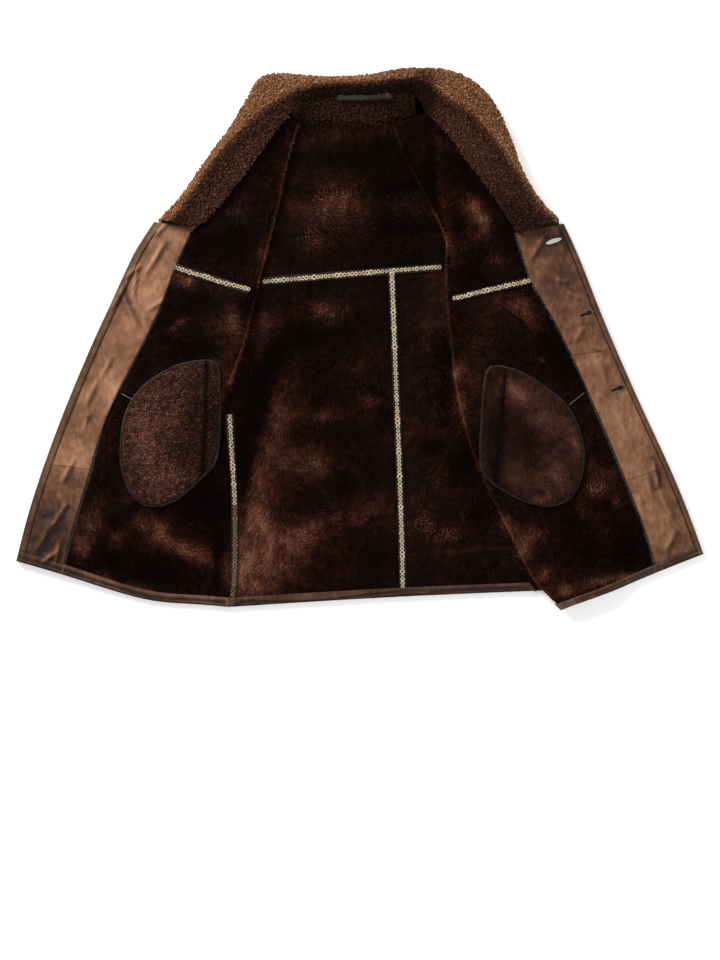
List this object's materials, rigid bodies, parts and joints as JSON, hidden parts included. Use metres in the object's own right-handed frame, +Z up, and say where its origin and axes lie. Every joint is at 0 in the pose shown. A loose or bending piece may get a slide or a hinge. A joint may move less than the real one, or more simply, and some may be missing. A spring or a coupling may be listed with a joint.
{
  "type": "shearling coat",
  "caption": "Men's hip-length shearling coat laid open and flat, wool side up, with a curly wool collar, leather facings, pocket bags and taped seams.",
  "frame": {"origin": "under the middle of the coat's bounding box, on the surface it lies on", "axes": "+Z up from the table, +Y from hem to collar, +X towards the wearer's left front"},
  "size_m": [1.063, 0.8398, 0.057],
  "materials": {
    "wool": "dense clipped wool of a sheepskin lining, reddish dark brown",
    "curly_wool": "curly wool, golden to reddish brown",
    "leather": "matt suede-like brown leather",
    "hem_leather": "dark brown leather binding, semi-matt",
    "seam_tape": "cream stitched braid",
    "loop_leather": "greyish brown leather",
    "button_horn": "dark horn-like plastic"
  },
  "bodies": {
    "root": {"back_left": "wool", "back_right": "wool", "back_yoke": "wool", "front_left": "wool", "front_right": "wool", "front_yoke_left": "wool", "front_yoke_right": "wool", "sleeve_left": "wool", "sleeve_right": "wool", "collar": "curly_wool", "collar_stand": "curly_wool", "pocket_bag_left": "curly_wool", "pocket_bag_right": "curly_wool", "pocket_strip_left": "curly_wool", "pocket_strip_right": "curly_wool", "edge_band_left": "leather", "edge_band_right": "leather", "facing_left_lower": "leather", "facing_left_middle": "leather", "facing_left_upper": "leather", "facing_right_lower": "leather", "facing_right_upper": "leather", "hem_band_back": "hem_leather", "hem_band_left": "hem_leather", "hem_band_right": "hem_leather", "pocket_binding_left": "hem_leather", "pocket_binding_right": "hem_leather", "tape_back_yoke": "seam_tape", "tape_centre_back": "seam_tape", "tape_front_left": "seam_tape", "tape_front_right": "seam_tape", "tape_side_right": "seam_tape", "hanger_loop": "loop_leather", "button_1": "button_horn", "button_2": "button_horn", "button_3": "button_horn"}
  },
  "joints": []
}
